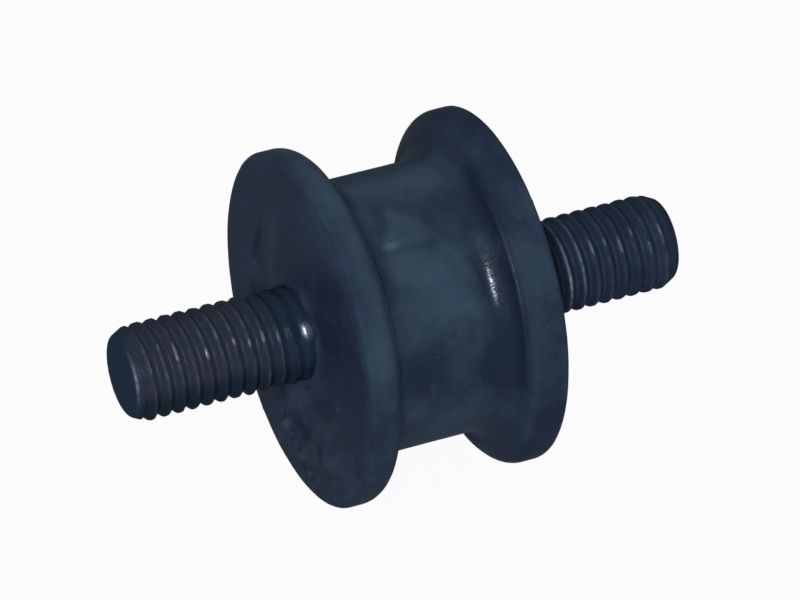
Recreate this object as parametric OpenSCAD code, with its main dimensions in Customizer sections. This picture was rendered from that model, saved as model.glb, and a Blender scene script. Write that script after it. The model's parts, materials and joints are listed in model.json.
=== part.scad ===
// Radiator mount: a moulded rubber spool with a steel plate bonded into each flange
// and a headed stud standing out of each plate. All pieces turn about the X axis,
// the origin is the middle of the spool on that axis, and +X runs to the right stud.

/* [Rubber body] */
// Diameter over the flange rims
flange_d = 30; // [28:0.5:40]
// Length of the spool over the two flange lips
body_l = 17.5; // [15:0.5:30]
// Thickness of a flange
flange_t = 3; // [2.4:0.1:4]
// Radius that rounds a rim on its side towards the waist
rim_inner_r = 1.5; // [0.5:0.1:1.8]
// Radius that breaks a rim's edge on its side towards the stud
rim_outer_r = 0.4; // [0.1:0.05:0.6]
// Diameter of the waist between the flanges
waist_d = 23; // [18:0.2:24]
// Radius of the fillet from the waist into a flange
fillet_r = 1.9; // [0.6:0.1:2]
// Height of the mould's witness ridge at the outer end of the fillet
ridge_h = 0.25; // [0.1:0.05:0.4]
// Diameter of the seat inside a flange's lip, where the plate shows
seat_d = 19; // [16:0.5:23]
// How far a flange's lip stands proud of the plate
lip_h = 0.4; // [0.3:0.05:0.8]
// Radius of the lip's edge round the seat
lip_edge_r = 0.3; // [0.1:0.05:0.3]

/* [Bonded plates] */
// Diameter of a plate
plate_d = 25; // [24:0.2:26]
// Thickness of a plate
plate_t = 1.5; // [1:0.1:1.8]

/* [Studs] */
// Thread size of a stud, which is its major diameter
stud_d = 8; // [6:1:8]
// Length of a stud beyond its plate
stud_l = 16; // [10:1:30]
// Length of the chamfer at a stud's end
chamfer_l = 1.2; // [0.6:0.1:1.6]
// Depth of the chamfer at a stud's end, measured on the radius
chamfer_r = 0.6; // [0.3:0.05:1]
// Diameter of the plain neck that is pressed through the plate
neck_d = 9; // [8.5:0.1:10]
// Gap between the neck and the plate's hole, measured on the diameter
neck_clearance = 0.04; // [0:0.01:0.1]
// Diameter of the head behind the plate
head_d = 13; // [11:0.5:16]
// Thickness of the head
head_t = 2.5; // [1.5:0.1:3]
// Chamfer round the head's buried edge
head_chamfer = 0.6; // [0.2:0.1:0.8]

/* [Hidden] */
$fn = 96;

rubber_colour = [0.17, 0.23, 0.29];
plate_colour = [0.14, 0.17, 0.22];
stud_colour = [0.16, 0.18, 0.23];

// Stations along the axis, counted from the middle of the spool
lip_y = body_l / 2;
seat_y = lip_y - lip_h;
plate_y = seat_y - plate_t;
head_y = plate_y - head_t;
stud_end_y = seat_y + stud_l;
flange_y = lip_y - flange_t;
ridge_y = flange_y - ridge_h;
fillet_y = ridge_y - fillet_r;

// Radii
flange_r = flange_d / 2;
waist_r = waist_d / 2;
fillet_end_r = waist_r + fillet_r;
seat_r = seat_d / 2;
plate_r = plate_d / 2;
hole_r = (neck_d + neck_clearance) / 2;
stud_r = stud_d / 2;
head_r = head_d / 2;
neck_r = neck_d / 2;

// A rectangle of a half section, from radius r0 to r1 and from station y0 to y1
module band(r0, r1, y0, y1) {
    translate([r0, y0]) square([r1 - r0, y1 - y0]);
}

// The right half section turned about the X axis
module turned() {
    rotate([0, 90, 0]) rotate_extrude() children();
}

// The same for a piece of the left end, which mirrors the right one
module turned_left() {
    mirror([1, 0, 0]) turned() children();
}

// Concave fillet between the waist and the flange's inner side
module fillet_section() {
    difference() {
        band(waist_r, fillet_end_r, fillet_y, ridge_y);
        translate([fillet_end_r, fillet_y]) circle(fillet_r);
    }
}

// Rim of a flange, rounded wide towards the waist and only broken towards the stud
module rim_section() {
    band(0, flange_r - rim_inner_r, flange_y, lip_y);
    band(0, flange_r, flange_y + rim_inner_r, lip_y - rim_outer_r);
    band(0, flange_r - rim_outer_r, flange_y + rim_inner_r, lip_y);
    translate([flange_r - rim_inner_r, flange_y + rim_inner_r]) circle(rim_inner_r);
    translate([flange_r - rim_outer_r, lip_y - rim_outer_r]) circle(rim_outer_r);
}

// Flange with its rim, and the witness ridge on its inner side
module flange_section() {
    rim_section();
    band(0, fillet_end_r, ridge_y, flange_y);
    translate([fillet_end_r, flange_y]) circle(ridge_h);
}

// Seat inside the lip, with the lip's edge rounded over
module seat_section() {
    band(0, seat_r, seat_y, lip_y);
    difference() {
        band(seat_r, seat_r + lip_edge_r, lip_y - lip_edge_r, lip_y);
        translate([seat_r + lip_edge_r, lip_y - lip_edge_r]) circle(lip_edge_r);
    }
}

// Half section of the head behind the plate
module head_section() {
    polygon([
        [0, head_y],
        [head_r - head_chamfer, head_y],
        [head_r, head_y + head_chamfer],
        [head_r, plate_y],
        [0, plate_y],
    ]);
}

// Half section of one end of the rubber, with the room that the steel takes up
module rubber_section() {
    difference() {
        union() {
            band(0, waist_r, 0, flange_y);
            fillet_section();
            flange_section();
        }
        seat_section();
        band(0, plate_r, plate_y, seat_y);
        head_section();
    }
}

// Half section of a bonded plate with its pressed hole
module plate_section() {
    band(hole_r, plate_r, plate_y, seat_y);
}

// Half section of a stud: head, pressed neck, threaded length and end chamfer
module stud_section() {
    head_section();
    band(0, neck_r, plate_y, seat_y);
    polygon([
        [0, seat_y],
        [stud_r, seat_y],
        [stud_r, stud_end_y - chamfer_l],
        [stud_r - chamfer_r, stud_end_y],
        [0, stud_end_y],
    ]);
}

module rubber_body() {
    color(rubber_colour) turned() {
        rubber_section();
        mirror([0, 1]) rubber_section();
    }
}

module left_plate() {
    color(plate_colour) turned_left() plate_section();
}

module right_plate() {
    color(plate_colour) turned() plate_section();
}

module left_stud() {
    color(stud_colour) turned_left() stud_section();
}

module right_stud() {
    color(stud_colour) turned() stud_section();
}

rubber_body();
left_plate();
right_plate();
left_stud();
right_stud();
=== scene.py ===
"""Dresses the radiator mount: a moulded rubber spool with a plate and a threaded stud at each end.

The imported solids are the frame, in metres. The spool and the studs turn about the X axis. An azimuth
about that axis is 0 at the top and grows towards the front, which is -Y. A station is a place along
the axis, and a share runs from 0 for none to 1 for all.
"""

import json
import logging
import math
from dataclasses import dataclass, replace
from enum import Enum

import bmesh
import bpy
import numpy as np
from mathutils import Matrix, Vector, noise

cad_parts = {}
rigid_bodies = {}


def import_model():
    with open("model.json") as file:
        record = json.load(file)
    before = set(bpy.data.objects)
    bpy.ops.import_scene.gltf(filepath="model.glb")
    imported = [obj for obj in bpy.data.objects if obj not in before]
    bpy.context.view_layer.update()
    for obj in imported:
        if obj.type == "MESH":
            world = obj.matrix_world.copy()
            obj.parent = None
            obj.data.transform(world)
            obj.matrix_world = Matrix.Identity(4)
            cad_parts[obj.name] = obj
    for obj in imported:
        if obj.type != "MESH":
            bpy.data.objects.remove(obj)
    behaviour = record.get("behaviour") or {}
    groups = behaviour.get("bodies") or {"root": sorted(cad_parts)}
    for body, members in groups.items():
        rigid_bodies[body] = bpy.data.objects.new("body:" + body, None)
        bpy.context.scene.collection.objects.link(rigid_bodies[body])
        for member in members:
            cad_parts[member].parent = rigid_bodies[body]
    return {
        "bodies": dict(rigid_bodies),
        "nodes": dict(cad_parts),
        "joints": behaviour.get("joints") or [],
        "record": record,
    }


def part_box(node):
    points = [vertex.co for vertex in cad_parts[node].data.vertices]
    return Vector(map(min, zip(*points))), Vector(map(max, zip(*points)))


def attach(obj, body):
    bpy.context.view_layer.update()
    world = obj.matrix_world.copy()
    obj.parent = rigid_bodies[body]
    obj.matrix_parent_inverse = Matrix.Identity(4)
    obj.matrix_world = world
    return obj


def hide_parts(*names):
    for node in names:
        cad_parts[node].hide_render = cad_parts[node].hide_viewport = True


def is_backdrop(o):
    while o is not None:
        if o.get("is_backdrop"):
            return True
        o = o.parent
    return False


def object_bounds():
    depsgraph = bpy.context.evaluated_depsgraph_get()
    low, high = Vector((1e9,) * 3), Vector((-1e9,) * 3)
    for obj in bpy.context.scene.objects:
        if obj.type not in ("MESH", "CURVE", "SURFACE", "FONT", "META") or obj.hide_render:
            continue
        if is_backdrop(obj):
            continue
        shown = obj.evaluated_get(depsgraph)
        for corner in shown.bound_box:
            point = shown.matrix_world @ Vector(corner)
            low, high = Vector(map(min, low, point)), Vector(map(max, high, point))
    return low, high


Array = np.ndarray
Piece = bpy.types.Object
Material = bpy.types.Material
Node = bpy.types.Node
Socket = bpy.types.NodeSocket
Colour = tuple[float, float, float, float]
Pair = tuple[float, float]
Route = tuple[Pair, ...]
Places = tuple[Array, Array]
Faces = list[tuple[int, ...]]

LOG = logging.getLogger("radiator_mount")
MM = 0.001
TINY = 0.001 * MM
BODY = "root"
SHARP_ANGLE = math.radians(52)
MERGED_GAP = 1e-7
EMPTY_EDGE = 1e-8
FULL_TURN = 2 * math.pi
OTHER_END_SHIFT = 17.0


class End(Enum):
    """The two ends of the mount, by the sign of their X."""

    LEFT = -1
    RIGHT = 1

    @property
    def word(self) -> str:
        """The end's name as the solids use it."""
        return self.name.lower()


class Slot(Enum):
    """Material slots of the record."""

    RUBBER = "rubber"
    PLATE = "plate_steel"
    STUD = "stud_steel"


class Pattern(Enum):
    """Noise patterns, each the size of its features in millimetres and the shift to its own part."""

    MOULD_WAVE = (9.0, 3.1)
    MOULD_RIPPLE = (2.6, 11.7)
    MOULD_GRAIN = (0.9, 23.3)
    TEAR_FRONT = (1.4, 29.0)
    TEAR_HEIGHT = (1.1, 31.0)
    TORN_RUBBER = (1.0, 37.0)
    TEAR_BREAKS = (0.9, 39.0)
    LUMPS = (2.4, 43.0)
    FINE_LUMPS = (1.1, 47.0)
    PITS = (1.8, 49.0)
    FACE_WAVE = (1.7, 53.0)
    GROOVE_STRAY = (0.9, 57.0)
    GROOVE_BREAKS = (1.5, 59.0)
    LIP_EDGE = (3.1, 67.0)
    FINE_LIP_EDGE = (1.1, 71.0)
    MARK_FRONT = (1.0, 101.0)
    MARK_HEIGHT = (0.9, 103.0)
    FLAKES = (0.8, 107.0)
    SKIN_WAVE = (2.6, 5.0)
    SKIN_GRAIN = (0.9, 8.3)
    SKIN_GROOVE = (1.6, 61.0)
    COLLAR_EDGE = (1.3, 73.0)
    WAIST_STREAKS = (0.8, 91.0)
    WAIST_PATCH = (1.9, 97.0)
    CREST_DENTS = (1.6, 41.0)
    THREAD_LUMPS = (0.9, 43.0)
    FINE_THREAD_LUMPS = (0.35, 47.0)
    WORN_CRESTS = (2.2, 83.0)
    GLINTS = (1.1, 87.0)
    ROOT_DUST = (1.4, 89.0)


def mm(*lengths: float) -> tuple[float, ...]:
    """Lengths in millimetres, as metres."""
    return tuple(length * MM for length in lengths)


def rad(*angles: float) -> tuple[float, ...]:
    """Angles in degrees, as radians."""
    return tuple(math.radians(angle) for angle in angles)


def route(*corners: Pair) -> Route:
    """Corners of a path over a face, from millimetres to metres."""
    return tuple(mm(*corner) for corner in corners)


def arc(centre: Pair, radius: float, start: float, stop: float, count: int) -> Array:
    """Points along an arc in a half section.

    Args:
        centre: Station along the axis and radius of the arc's centre.
        radius: Radius of the arc.
        start: First angle in degrees, counted from the axis direction towards larger radii.
        stop: Last angle in degrees.
        count: Number of points.

    Returns:
        An array of (station, radius) rows.
    """
    angles = np.radians(np.linspace(start, stop, count))
    return np.stack([centre[0] + radius * np.cos(angles), centre[1] + radius * np.sin(angles)], axis=1)


def line(start: Pair, stop: Pair, count: int) -> Array:
    """Evenly spaced points of a half section from start up to stop, without stop itself."""
    shares = np.linspace(0.0, 1.0, count, endpoint=False)[:, None]
    return np.array(start) + shares * (np.array(stop) - np.array(start))


def turn(stations: Array, radii: Array, azimuths: Array) -> Array:
    """Points at given stations, radii and azimuths about the X axis, broadcast together."""
    stations, radii, azimuths = np.broadcast_arrays(stations, radii, azimuths)
    return np.stack([stations, -radii * np.sin(azimuths), radii * np.cos(azimuths)], axis=-1)


def round_azimuths(columns: int) -> Array:
    """Azimuths of evenly spaced columns once round the axis."""
    return np.linspace(0.0, FULL_TURN, columns, endpoint=False)


def waviness(points: Array, pattern: Pattern, shift: float = 0.0) -> Array:
    """Smooth noise from about -1 to 1 at each point.

    Args:
        points: Array whose last axis is X, Y, Z in metres.
        pattern: The noise to use.
        shift: Further shift to another part of the pattern.

    Returns:
        One value per point, in the shape of the points without their last axis.
    """
    wavelength, seed = pattern.value
    shifted = points.reshape(-1, 3) / (wavelength * MM) + (seed + shift)
    values = [noise.noise(Vector(place)) for place in shifted]
    return np.array(values).reshape(points.shape[:-1])


def rise(values: Array, limits: Pair, start: float = 0.0) -> Array:
    """Eases from 0 to 1 between two limits.

    Args:
        values: The values to place.
        limits: Where the share leaves 0 and where it reaches 1, counted from the start.
        start: Value that the limits are counted from.

    Returns:
        One share per value.
    """
    low, high = start + limits[0], start + limits[1]
    shares = np.clip((values - low) / (high - low), 0.0, 1.0)
    return shares * shares * (3 - 2 * shares)


def fall(values: Array, limits: Pair, start: float = 0.0) -> Array:
    """Eases from 1 to 0 between two limits, counted from the start."""
    return 1.0 - rise(values, limits, start)


def near(values: Array, middle: float, spread: float, power: int = 2) -> Array:
    """Share that is 1 at the middle value and falls off over the spread, later and steeper with the power."""
    return np.exp(-(((values - middle) / spread) ** power))


def spot(across: Array, along: Array) -> Array:
    """Share that is 1 where both distances, counted in half widths, are 0."""
    return np.exp(-(across**2) - along**2)


def weighed(shares: dict[str, Array], weights: dict[str, float]) -> Array:
    """Sum of the named shares, each times its weight."""
    return sum(weight * shares[name] for name, weight in weights.items())


def azimuth_gap(azimuths: Array, middle: float) -> Array:
    """Smallest angle from each azimuth to the middle one, in radians."""
    return np.abs((azimuths - middle + math.pi) % FULL_TURN - math.pi)


def path_gap(places: Places, path: Route) -> Array:
    """Distance of each place on a face to a path of straight stretches.

    Args:
        places: Distance of each place to the front of the axis, and its height above it.
        path: The path's corners, as fronts and heights.

    Returns:
        The smallest distance of each place.
    """
    fronts, heights = places
    gaps = np.full(np.broadcast(fronts, heights).shape, np.inf)
    for (front, height), (next_front, next_height) in zip(path, path[1:]):
        run, rise_up = next_front - front, next_height - height
        share = ((fronts - front) * run + (heights - height) * rise_up) / (run**2 + rise_up**2)
        share = np.clip(share, 0.0, 1.0)
        gaps = np.minimum(gaps, np.hypot(fronts - front - share * run, heights - height - share * rise_up))
    return gaps


@dataclass(frozen=True)
class Sector:
    """Part of the turn about the axis with soft ends: its middle and spread in degrees, and its power."""

    middle: float
    spread: float
    power: int = 2

    def share(self, azimuths: Array) -> Array:
        """Share of the sector at each azimuth."""
        gaps = azimuth_gap(azimuths, math.radians(self.middle))
        return near(gaps, 0.0, math.radians(self.spread), self.power)


@dataclass(frozen=True)
class Around:
    """A piece's points, and how they lie along, off and round the axis."""

    points: Array
    stations: Array
    radii: Array
    azimuths: Array

    @classmethod
    def of(cls, piece: Piece) -> "Around":
        """Reads the points of a piece.

        Args:
            piece: The piece.

        Returns:
            Its points, with the place of each.
        """
        flat = np.zeros(len(piece.data.vertices) * 3, np.float32)
        piece.data.vertices.foreach_get("co", flat)
        points = flat.reshape(-1, 3).astype(float)
        radii = np.hypot(points[:, 1], points[:, 2])
        return cls(points, points[:, 0], radii, np.arctan2(-points[:, 1], points[:, 2]))


def mesh_object(name: str, vertices: Array, faces: Faces) -> Piece:
    """Makes a smooth-shaded mesh object with merged points and outward faces.

    Args:
        name: Name of the piece.
        vertices: Array of points in metres.
        faces: Indices of each face's corners.

    Returns:
        The object, linked to the scene.
    """
    mesh = bpy.data.meshes.new(name)
    mesh.from_pydata([tuple(point) for point in vertices], [], faces)
    work = bmesh.new()
    work.from_mesh(mesh)
    bmesh.ops.remove_doubles(work, verts=work.verts, dist=MERGED_GAP)
    bmesh.ops.dissolve_degenerate(work, edges=work.edges, dist=EMPTY_EDGE)
    bmesh.ops.recalc_face_normals(work, faces=work.faces)
    work.to_mesh(mesh)
    work.free()
    mesh.shade_smooth()
    mesh.set_sharp_from_angle(angle=SHARP_ANGLE)
    piece = bpy.data.objects.new(name, mesh)
    bpy.context.scene.collection.objects.link(piece)
    return piece


def turned_piece(name: str, rings: Array, helix: tuple[int, int, int] | None = None) -> Piece:
    """Closes rings of points into a solid of revolution with a point on the axis at each end.

    Args:
        name: Name of the piece.
        rings: Array of rows, columns and X, Y, Z. The columns go once round the axis.
        helix: First and last row of a thread, and the number of rows it moves on in one turn.

    Returns:
        The piece.
    """
    rows, columns = rings.shape[:2]
    first_pole = np.array([[rings[0, :, 0].mean(), 0.0, 0.0]])
    last_pole = np.array([[rings[-1, :, 0].mean(), 0.0, 0.0]])
    vertices = np.concatenate([rings.reshape(-1, 3), first_pole, last_pole])
    first_index = rows * columns
    last_index = first_index + 1
    moved_on = np.arange(rows)
    if helix is not None:
        first, last, shift = helix
        moved_on[first:last + 1] = np.clip(moved_on[first:last + 1] + shift, first, last)
    faces: Faces = []
    for column in range(columns):
        after = (column + 1) % columns
        meets = moved_on if after == 0 else np.arange(rows)
        faces.append((first_index, after, column))
        end_row = (rows - 1) * columns
        faces.append((last_index, end_row + column, end_row + after))
        for row in range(rows - 1):
            low = row * columns + column
            high = low + columns
            low_after = int(meets[row]) * columns + after
            high_after = int(meets[row + 1]) * columns + after
            corners_used = list(dict.fromkeys((low, low_after, high_after, high)))
            if len(corners_used) > 2:
                faces.append(tuple(corners_used))
    return mesh_object(name, vertices, faces)


def ring_piece(name: str, rings: Array) -> Piece:
    """Closes rings of points into a ring-shaped solid, the last ring joined to the first one.

    Args:
        name: Name of the piece.
        rings: Array of rows, columns and X, Y, Z. The columns go once round the axis.

    Returns:
        The piece.
    """
    rows, columns = rings.shape[:2]
    faces: Faces = []
    for row in range(rows):
        low = row * columns
        high = ((row + 1) % rows) * columns
        for column in range(columns):
            after = (column + 1) % columns
            faces.append((low + column, low + after, high + after, high + column))
    return mesh_object(name, rings.reshape(-1, 3), faces)


def write_masks(piece: Piece, **masks: Array) -> None:
    """Stores one value per point for each mask, which a material reads by name.

    Args:
        piece: The piece that keeps the masks.
        masks: Values of each mask, by its name.
    """
    for name, values in masks.items():
        attribute = piece.data.attributes.new(name, "FLOAT", "POINT")
        attribute.data.foreach_set("value", np.clip(values, 0.0, 1.0).astype(np.float32))


def dress(piece: Piece, material: Material) -> None:
    """Gives the piece this material alone."""
    piece.data.materials.clear()
    piece.data.materials.append(material)


class NodeTree:
    """Adds shader nodes to a material or a node group and joins them."""

    def __init__(self, tree: bpy.types.NodeTree) -> None:
        """Keeps the tree and empties it."""
        self.tree = tree
        self.tree.nodes.clear()

    def add(self, kind: str, sockets: dict | None = None, **settings: object) -> Node:
        """Adds one node.

        Args:
            kind: Blender's name of the node's type, without the ShaderNode prefix.
            sockets: Input name or number to a value, or to an output socket to join.
            settings: Properties of the node.

        Returns:
            The node.
        """
        node = self.tree.nodes.new("ShaderNode" + kind)
        for name, value in settings.items():
            setattr(node, name, value)
        for key, value in (sockets or {}).items():
            if isinstance(value, Socket):
                self.tree.links.new(value, node.inputs[key])
            else:
                node.inputs[key].default_value = value
        return node

    def math(self, operation: str, first: object, second: object, clamp: bool = False) -> Socket:
        """Output of a math node."""
        return self.add("Math", {0: first, 1: second}, operation=operation, use_clamp=clamp).outputs[0]

    def remap(self, value: object, limits: Pair, results: Pair) -> Socket:
        """Output of a clamped map from two limits to two results.

        Args:
            value: Value or socket to map.
            limits: Values that give the first and the second result.
            results: The two results.

        Returns:
            The mapped value.
        """
        sockets = {"Value": value, "From Min": limits[0], "From Max": limits[1]}
        sockets.update({"To Min": results[0], "To Max": results[1]})
        return self.add("MapRange", sockets).outputs["Result"]

    def blend(self, share: object, first: object, second: object) -> Socket:
        """Output of a mix of two colours."""
        return self.add("Mix", {0: share, 6: first, 7: second}, data_type="RGBA").outputs[2]

    def mask(self, name: str) -> Socket:
        """A value stored on the mesh's points."""
        return self.add("Attribute", attribute_name=name).outputs["Fac"]

    def noise(self, place: Socket, scale: object, detail: float) -> Socket:
        """Value of a noise texture."""
        return self.add("TexNoise", {"Vector": place, "Scale": scale, "Detail": detail}).outputs["Fac"]


def new_material(name: str) -> tuple[Material, NodeTree]:
    """Starts a material.

    Args:
        name: Name of the material.

    Returns:
        The material and its empty node tree.
    """
    material = bpy.data.materials.new(name)
    material.use_nodes = True
    return material, NodeTree(material.node_tree)


@dataclass(frozen=True)
class Mottle:
    """Values of the cloudy patches in one finish, with their scale per metre."""

    scale: float
    low: float
    high: float
    break_up: float


@dataclass(frozen=True)
class Grain:
    """Values of the fine grain and its specks in one finish, with their scales per metre."""

    scale: float
    speck_scale: float
    speck_size: float


class SurfaceGroups:
    """Node groups that the finishes share."""

    drawn_out = (1.0, 0.7, 1.0)
    wide_detail = 1.2
    fine_detail = 2.0
    fine_scale = 4.3
    grain_detail = 3.0

    def __init__(self) -> None:
        """Builds each group once."""
        self.mottle = self.build_mottle()
        self.grain = self.build_grain()

    @staticmethod
    def start(name: str, inputs: tuple[str, ...], outputs: tuple[str, ...]) -> tuple[NodeTree, Node]:
        """Starts a group of value sockets.

        Args:
            name: Name of the group.
            inputs: Input names.
            outputs: Output names.

        Returns:
            The group's node tree and its input node.
        """
        group = bpy.data.node_groups.new(name, "ShaderNodeTree")
        for direction, labels in (("INPUT", inputs), ("OUTPUT", outputs)):
            for label in labels:
                group.interface.new_socket(name=label, in_out=direction, socket_type="NodeSocketFloat")
        tree = NodeTree(group)
        return tree, group.nodes.new("NodeGroupInput")

    @staticmethod
    def end(tree: NodeTree, **sockets: Socket) -> bpy.types.NodeTree:
        """Joins the outputs of a group.

        Args:
            tree: The group's node tree.
            sockets: What each output puts out.

        Returns:
            The group.
        """
        node = tree.tree.nodes.new("NodeGroupOutput")
        for label, socket in sockets.items():
            tree.tree.links.new(socket, node.inputs[label])
        return tree.tree

    def build_mottle(self) -> bpy.types.NodeTree:
        """Soft cloudy patches, such as bloom on rubber or uneven coating on steel.

        Returns:
            The group.
        """
        tree, given = self.start("cloudy_patches", ("Patch Scale", "Low", "High", "Break Up"), ("Mask",))
        scale, low, high, break_up = given.outputs[:4]
        sockets = {0: tree.add("TexCoord").outputs["Object"], 1: self.drawn_out}
        place = tree.add("VectorMath", sockets, operation="MULTIPLY").outputs["Vector"]
        wide = tree.noise(place, scale, self.wide_detail)
        fine = tree.noise(place, tree.math("MULTIPLY", scale, self.fine_scale), self.fine_detail)
        broken = tree.math("MULTIPLY", fine, break_up)
        kept = tree.math("MULTIPLY", wide, tree.math("SUBTRACT", 1.0, break_up))
        sockets = {"Value": tree.math("ADD", broken, kept), "From Min": low, "From Max": high}
        patches = tree.add("MapRange", sockets, interpolation_type="SMOOTHSTEP")
        return self.end(tree, Mask=patches.outputs["Result"])

    def build_grain(self) -> bpy.types.NodeTree:
        """Fine grain with a height, and sparse specks as dust or pinholes leave them.

        Returns:
            The group.
        """
        inputs = ("Grain Scale", "Speck Scale", "Speck Size")
        tree, given = self.start("fine_grain", inputs, ("Height", "Specks"))
        scale, speck_scale, speck_size = given.outputs[:3]
        place = tree.add("TexCoord").outputs["Object"]
        grain = tree.noise(place, scale, self.grain_detail)
        cells = tree.add("TexVoronoi", {"Vector": place, "Scale": speck_scale})
        sockets = {"Value": cells.outputs["Distance"], "From Min": speck_size, "From Max": 0.0}
        specks = tree.add("MapRange", sockets, interpolation_type="SMOOTHSTEP")
        return self.end(tree, Height=grain, Specks=specks.outputs["Result"])

    def patches(self, tree: NodeTree, look: Mottle) -> Socket:
        """Places the cloudy patches in a material.

        Args:
            tree: The material's node tree.
            look: Values of the patches.

        Returns:
            The mask of the patches.
        """
        sockets = {"Patch Scale": look.scale, "Low": look.low, "High": look.high, "Break Up": look.break_up}
        return tree.add("Group", sockets, node_tree=self.mottle).outputs["Mask"]

    def grained(self, tree: NodeTree, look: Grain) -> tuple[Socket, Socket]:
        """Places the fine grain in a material.

        Args:
            tree: The material's node tree.
            look: Values of the grain.

        Returns:
            The height of the grain and the mask of the specks.
        """
        sockets = {"Grain Scale": look.scale, "Speck Scale": look.speck_scale, "Speck Size": look.speck_size}
        node = tree.add("Group", sockets, node_tree=self.grain)
        return node.outputs["Height"], node.outputs["Specks"]


@dataclass(frozen=True)
class RubberFinish:
    """Black rubber with a bluish bloom, matte on its worn outside and glossy in its sheltered fillets."""

    deep: Colour = (0.015, 0.026, 0.045, 1.0)
    violet: Colour = (0.020, 0.025, 0.053, 1.0)
    bloom: Colour = (0.047, 0.071, 0.103, 1.0)
    dust: Colour = (0.105, 0.145, 0.185, 1.0)
    patches: Mottle = Mottle(230.0, 0.36, 0.64, 0.24)
    tints: Mottle = Mottle(400.0, 0.42, 0.62, 0.20)
    grain: Grain = Grain(5200.0, 520.0, 0.11)
    patch_share: float = 0.46
    grain_limits: Pair = (0.3, 0.7)
    grain_shares: Pair = (-0.08, 0.08)
    tint_share: float = 0.7
    speck_share: float = 0.22
    sparkle_limits: Pair = (0.40, 0.57)
    sparkle_shares: Pair = (0.10, 1.0)
    specular: float = 0.04
    satin: float = 0.68
    matte: float = 0.85
    coat_ior: float = 1.62
    coat_roughness: float = 0.24
    patch_height: float = 0.6
    bump: float = 0.35
    bump_depth: float = 0.05 * MM

    def material(self, groups: SurfaceGroups) -> Material:
        """Makes the rubber's material, which reads its masks of bloomed rubber with painted light, of shade,
        mostly painted, of violet tone, of gloss and of scuff.

        Args:
            groups: The shared node groups.

        Returns:
            The material.
        """
        material, tree = new_material("black_rubber")
        patches = groups.patches(tree, self.patches)
        tints = groups.patches(tree, self.tints)
        grain, specks = groups.grained(tree, self.grain)
        # Pale tone from bloomed rubber and painted light: a lighter top, a floor reflection, light along the
        # ridges' foot and glints on flakes.
        pale = tree.math("ADD", tree.math("MULTIPLY", patches, self.patch_share), tree.mask("bloom"))
        pale = tree.math("ADD", pale, tree.remap(grain, self.grain_limits, self.grain_shares))
        pale = tree.math("SUBTRACT", pale, tree.mask("shade"), True)
        tinted = tree.math("MULTIPLY", tints, self.tint_share)
        # Violet tone, stronger in the faces' shade, painted shade included, and in random tints.
        stained = tree.math("MAXIMUM", tree.mask("stain"), tinted, True)
        colour = tree.blend(pale, tree.blend(stained, self.deep, self.violet), self.bloom)
        dusty = tree.math("MULTIPLY", specks, self.speck_share)
        dusty = tree.math("ADD", dusty, tree.mask("scuff"), True)
        sparkle = tree.remap(grain, self.sparkle_limits, self.sparkle_shares)
        height = tree.math("ADD", grain, tree.math("MULTIPLY", patches, self.patch_height))
        bump = tree.add("Bump", {"Strength": self.bump, "Distance": self.bump_depth, "Height": height})
        shader = tree.add("BsdfPrincipled", {
            "Base Color": tree.blend(dusty, colour, self.dust),
            "Roughness": tree.remap(patches, (0.0, 1.0), (self.satin, self.matte)),
            "Specular IOR Level": self.specular,
            "Coat Weight": tree.math("MULTIPLY", tree.mask("gloss"), sparkle),
            "Coat IOR": self.coat_ior,
            "Coat Roughness": self.coat_roughness,
            "Normal": bump.outputs["Normal"],
        })
        tree.add("OutputMaterial", {"Surface": shader.outputs["BSDF"]})
        return material


@dataclass(frozen=True)
class SteelFinish:
    """Dark coated steel, bright from wear and painted glints, darker at a stud's end, with painted shade near
    its plate and underneath, and with painted light in its roots and on its flanks, where its masks say so.
    """

    name: str
    coat: Colour
    hollow: Colour
    worn: Colour
    tint: Colour
    dust: Colour
    soot: Colour
    metallic: float
    bare_metallic: float
    rough_low: float
    rough_high: float
    polished: float
    patches: Mottle
    bump: float
    edge: Colour = (0.45, 0.45, 0.50, 1.0)
    specular: float = 0.0
    tints: Mottle = Mottle(640.0, 0.42, 0.60, 0.3)
    grain: Grain = Grain(1900.0, 800.0, 0.10)
    patch_share: float = 0.30
    bare_limits: Pair = (0.34, 0.58)
    bare_shares: Pair = (0.35, 1.0)
    bump_depth: float = 0.06 * MM

    def material(self, groups: SurfaceGroups) -> Material:
        """Makes the steel's material, which reads its masks of wear with painted glints, of a darker end with
        painted shade, of painted light, and of painted shade.

        Args:
            groups: The shared node groups.

        Returns:
            The material.
        """
        material, tree = new_material(self.name)
        patches = groups.patches(tree, self.patches)
        tints = groups.patches(tree, self.tints)
        grain, _ = groups.grained(tree, self.grain)
        # Darker end face, painted shade near the plate and behind the far flange, and random patches.
        dark = tree.math("ADD", tree.mask("hollow"), tree.math("MULTIPLY", patches, self.patch_share), True)
        colour = tree.blend(tints, self.coat, self.tint)
        colour = tree.blend(dark, colour, self.hollow)
        # Dusty tone, and painted light in a stud's roots and on its flanks.
        colour = tree.blend(tree.mask("dust"), colour, self.dust)
        # Painted shade under a stud and near its plate.
        colour = tree.blend(tree.mask("soot"), colour, self.soot)
        # Steel bright from wear, and painted glints and highlights.
        bare = tree.remap(grain, self.bare_limits, self.bare_shares)
        bare = tree.math("MULTIPLY", bare, tree.mask("worn"))
        roughness = tree.remap(patches, (0.0, 1.0), (self.rough_low, self.rough_high))
        bump = tree.add("Bump", {"Strength": self.bump, "Distance": self.bump_depth, "Height": grain})
        shader = tree.add("BsdfPrincipled", {
            "Base Color": tree.blend(bare, colour, self.worn),
            "Roughness": tree.math("SUBTRACT", roughness, tree.math("MULTIPLY", bare, self.polished)),
            "Metallic": tree.remap(bare, (0.0, 1.0), (self.metallic, self.bare_metallic)),
            "Specular IOR Level": self.specular,
            "Specular Tint": self.edge,
            "Normal": bump.outputs["Normal"],
        })
        tree.add("OutputMaterial", {"Surface": shader.outputs["BSDF"]})
        return material


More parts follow.
